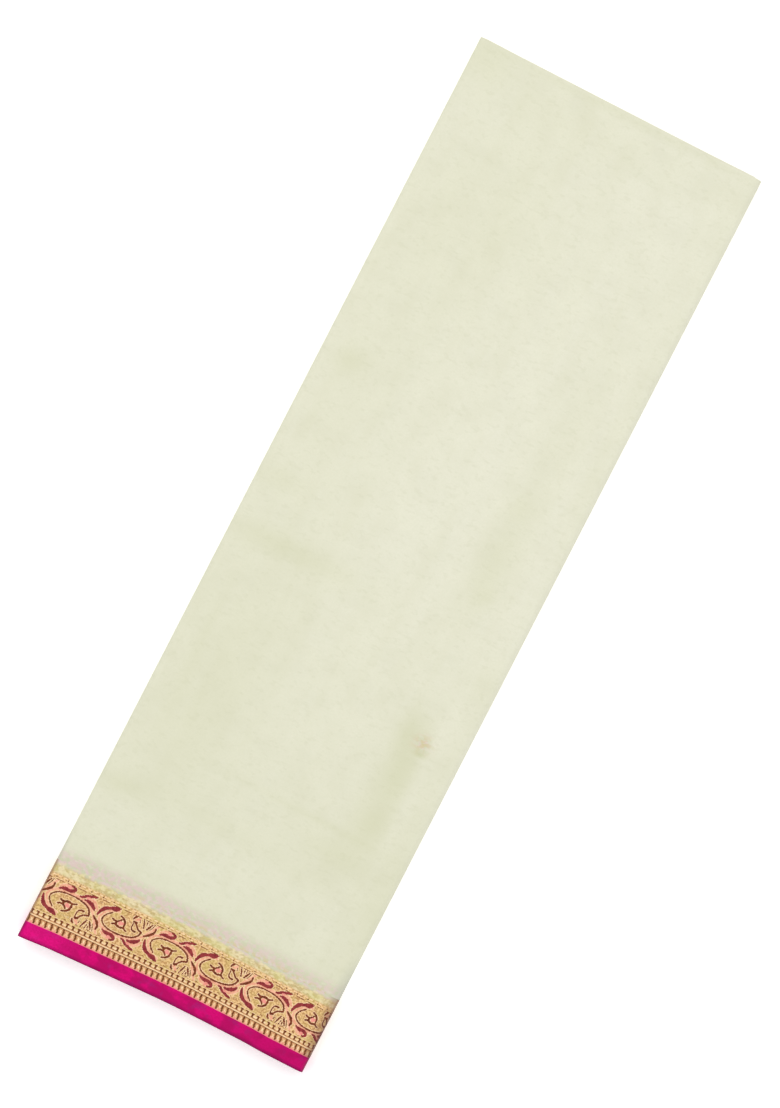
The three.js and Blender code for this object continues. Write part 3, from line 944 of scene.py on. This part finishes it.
outer_path = outer_route(top_steps=114, under_steps=16, turn_steps=12)
outer_path = (outer_path[0] + outer_path[1] * OUTER_LIFT, outer_path[1])
along, depth = hairpin(BORDER_DEPTH, LENGTH - BOW, pitch=2.6, back_pitch=8.0, thick=OUTER_THICK)
outer_field = sweep("outer_field", outer_path, outer_y(outer_path, along), depth, cream, False)
paint_field(outer_field)
along, depth = slab(0.0, BORDER_DEPTH, pitch=1.2, thick=OUTER_THICK)
outer_border = sweep("outer_border", outer_path, outer_y(outer_path, along), depth, magenta, False)
border_gold, border_figures = brocade([
    ("border_gold", GOLD_LIFT, {GOLD: gold, BRIGHT: bright}),
    ("border_figures", FIGURES_LIFT, {LINE: maroon, OLIVE: olive, WINE: wine, SALMON: salmon, PINK: pink}),
])

# Where across the top the magenta's pinker part fades out, and its deeper part fades in
PINKER_TO, DEEPER_FROM = (-86, -40), (20, 70)
border_x = places_of(outer_border)[0]
paint(outer_border, 1 - smooth(border_x, *PINKER_TO), smooth(border_x, *DEEPER_FROM))

# Inner layers: two levels before the outer cloth, which has two, and all the rest after it

INNER_STEPS = {"steps": 22, "turn_steps": 8}
REST = levels_from(UNDER_END, LEVELS - 4)
paths = [inner_route([TOP_END - 1, TOP_END], None, LEFT + TURNED_IN, **INNER_STEPS),
         inner_route(REST, LEFT + TURNED_IN, None, **INNER_STEPS)]
paths = [(points + outward * INNER_THICK / 2, outward) for points, outward in paths]


# The inner selvedges: how far in they lie on average, and how much they slip in and out, by two waves from
# level to level and one across the pack
SLIP_INSET, SLIP_SIZE = 0.9, 0.8
SLIPS = [{"size": 0.7, "turn": 2.1, "shift": 0.8}, {"size": 0.45, "turn": 5.3, "shift": 0}]
SLIP_ACROSS = {"size": 0.35, "radian": 37}


def inner_y(path, along):
    """Places along the pack, with each level's selvedge a little further in or out than the next one's."""
    x, z = path[0][:, 0], path[0][:, 1]
    level = z / PITCH
    slip = sum(w["size"] * np.sin(w["turn"] * level + w["shift"]) for w in SLIPS)
    slip += SLIP_ACROSS["size"] * np.sin(x / SLIP_ACROSS["radian"] + level)
    start = NEAR + BOW + INSET_NEAR + SLIP_INSET + SLIP_SIZE * slip * smooth(z, 0, 1)
    return start[:, None] + along[None, :]


# The near edge's section, with a notch between the two selvedges that lie together at each level
NOTCH = [
    {"along": 0.35, "share": 1},
    {"along": 0.3, "share": 0.62},
    {"along": 1.4, "share": 0.5},
    {"along": 0, "share": 0.38},
]


def notched(end, thick):
    along = np.array((0, end, end, *(p["along"] for p in NOTCH)))
    return along, thick * np.array((0, 0, 1, *(p["share"] for p in NOTCH)))


INNER_END = FAR - NEAR - BOW - INSET_NEAR - INSET_FAR
INNER_ROW = 26.0
INNER_BORDER_ROW = 12
SECTIONS = {
    "inner_selvedge": (notched(INNER_SELVEDGE, INNER_THICK), magenta),
    "inner_border": (slab(INNER_SELVEDGE, BORDER_DEPTH, INNER_BORDER_ROW, INNER_THICK), pale_gold),
    "inner_field": (hairpin(BORDER_DEPTH, INNER_END, INNER_ROW, INNER_ROW, INNER_THICK), cream),
}


def inner_layer(name):
    """One band of all the inner layers, joined from its two paths."""
    (along, depth), material = SECTIONS[name]
    made = [sweep(f"{name}_{k}", path, inner_y(path, along), depth, material)
            for k, path in enumerate(paths)]
    bpy.ops.object.select_all(action="DESELECT")
    for o in made:
        o.select_set(True)
    bpy.context.view_layer.objects.active = made[0]
    bpy.ops.object.join()
    made[0].name = name
    paint(made[0])
    return made[0]


inner_selvedge, inner_border, inner_field = [inner_layer(name) for name in SECTIONS]

# Each piece goes on the root body and hides the parts of the model that it stands for
pieces = {
    outer_field: ("field_silk", ["top_field", "side_fold_field", "under_field"]),
    outer_border: ("selvedge_band", [
        "top_zari_border", "side_fold_zari_border", "under_zari_border",
        "top_selvedge_band", "side_fold_selvedge_band", "under_selvedge_band",
    ]),
    border_gold: ("zari_border", []),
    border_figures: ("zari_border", []),
    inner_field: ("field_silk", ["hidden_layers_field"]),
    inner_border: ("zari_border", ["hidden_layers_zari_border"]),
    inner_selvedge: ("selvedge_band", ["hidden_layers_selvedge_band"]),
}
for o, (slot, nodes) in pieces.items():
    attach(o, "root")
    if nodes:
        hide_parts(*nodes)

# Floor, lights and camera. Their sizes and places are in metres, and the lean is in degrees.

FLOOR_HALF = 4
FLOOR_BELOW = 0.0002
FLOOR_GLOW = 0.3
LIGHTS = [
    {"name": "key", "place": (-0.9, 0.7, 1.6), "size": 1.2, "watts": 6},
    {"name": "fill", "place": (0.9, -0.6, 1.8), "size": 1.6, "watts": 4},
    {"name": "top", "place": (0.0, 0.1, 2.2), "size": 2.0, "watts": 4},
]
SURROUNDINGS = 0.74
PACK_LEAN = 27.28
PICTURE_HEIGHT = 0.6298
PICTURE_CENTRE = (-0.001, 0.0023)


def stage():
    """A white floor. It glows faintly, so that the pack leaves hardly a shadow."""
    mesh = bpy.data.meshes.new("floor")
    corners = [(x * FLOOR_HALF, y * FLOOR_HALF, 0) for x, y in ((-1, -1), (1, -1), (1, 1), (-1, 1))]
    mesh.from_pydata(corners, [], [(0, 1, 2, 3)])
    floor = bpy.data.objects.new("floor", mesh)
    bpy.context.collection.objects.link(floor)
    floor.location.z = -FLOOR_BELOW
    m = Nodes("white_floor")
    m.surface({"Base Color": (0.94, 0.94, 0.94, 1), "Roughness": 0.9, "Emission Color": (1, 1, 1, 1),
               "Emission Strength": FLOOR_GLOW})
    mesh.materials.append(m.material)


def light(name, place, size, watts):
    """A round lamp that faces the pack."""
    data = bpy.data.lights.new(name, "AREA")
    data.shape = "DISK"
    data.size = size
    data.energy = watts
    o = bpy.data.objects.new(name, data)
    o.location = place
    bpy.context.collection.objects.link(o)
    direction = -np.array(place, float)
    o.rotation_euler = (math.acos(-direction[2] / np.linalg.norm(direction)), 0,
                        math.atan2(direction[1], direction[0]) - math.pi / 2)


def camera():
    """Straight above, far off, turned so that the pack leans to the right as in the photograph."""
    data = bpy.data.cameras.new("camera")
    data.sensor_fit = "VERTICAL"
    data.sensor_height = 24
    data.lens = 100
    data.clip_end = 20
    o = bpy.data.objects.new("camera", data)
    distance = PICTURE_HEIGHT * data.lens / data.sensor_height
    o.location = (*PICTURE_CENTRE, HEIGHT * MM + distance)
    o.rotation_euler = (0, 0, math.radians(PACK_LEAN))
    bpy.context.collection.objects.link(o)
    bpy.context.scene.camera = o


stage()
for lamp in LIGHTS:
    light(**lamp)
world = bpy.data.worlds.new("studio")
world.use_nodes = True
background = world.node_tree.nodes["Background"].inputs
background["Color"].default_value = (1, 1, 1, 1)
background["Strength"].default_value = SURROUNDINGS
bpy.context.scene.world = world
bpy.context.scene.view_settings.view_transform = "Standard"
camera()
